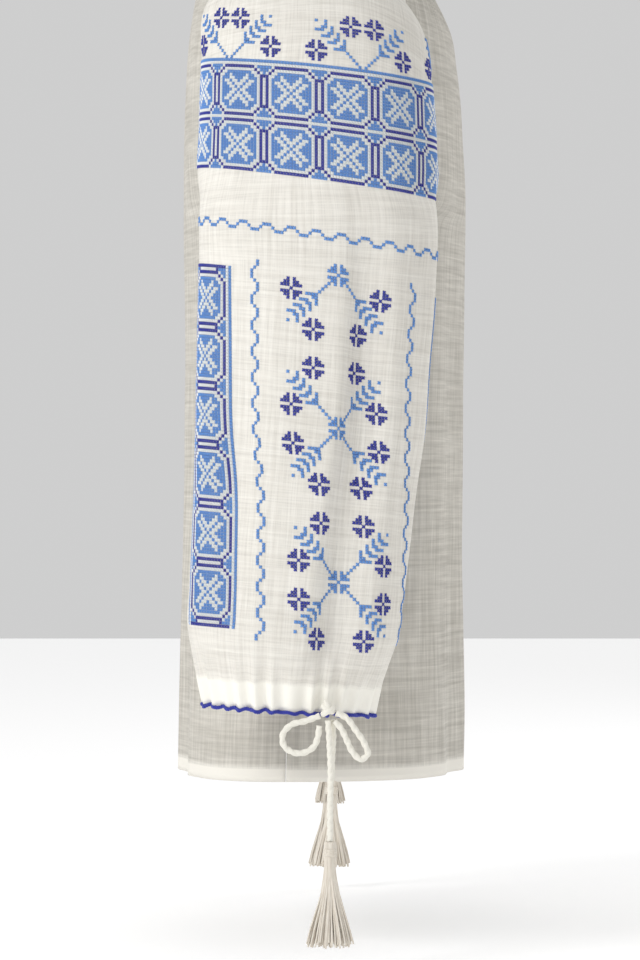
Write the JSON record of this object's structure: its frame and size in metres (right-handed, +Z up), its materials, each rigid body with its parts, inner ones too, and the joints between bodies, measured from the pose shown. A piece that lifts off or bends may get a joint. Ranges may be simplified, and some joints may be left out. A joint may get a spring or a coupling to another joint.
{
  "type": "romanian ie blouse",
  "caption": "Gathered linen folk blouse in its hollow worn form, with raglan sleeves worked in blue cross stitch, drawstring cuffs tied in bows, and tassels.",
  "frame": {"origin": "middle of the neck opening, level with the shoulders, where the wearer holds it up", "axes": "+Z up, the wearer faces -Y, the wearer's right sleeve is at -X"},
  "size_m": [0.6448, 0.2381, 0.8311],
  "materials": {
    "linen": "sheer slubby plain weave, matt",
    "thread_dark_blue": "stranded cotton, soft sheen",
    "thread_light_blue": "stranded cotton, soft sheen",
    "thread_white": "stranded cotton, soft sheen",
    "cord": "two-ply twisted cotton cord",
    "tassel": "bundled cotton strands"
  },
  "bodies": {
    "root": {"front": "linen", "back": "linen", "sleeve_right": "linen", "sleeve_left": "linen", "neck_binding": "linen", "cuff_edging_right": "thread_dark_blue", "cuff_edging_left": "thread_dark_blue", "knot_right": "cord", "bow_loop_back_right": "cord", "bow_loop_front_right": "cord", "cord_end_outer_right": "cord", "cord_end_inner_right": "cord", "tassel_outer_right": "tassel", "tassel_inner_right": "tassel", "knot_left": "cord", "bow_loop_back_left": "cord", "bow_loop_front_left": "cord", "cord_end_outer_left": "cord", "cord_end_inner_left": "cord", "tassel_outer_left": "tassel", "tassel_inner_left": "tassel"}
  },
  "joints": []
}
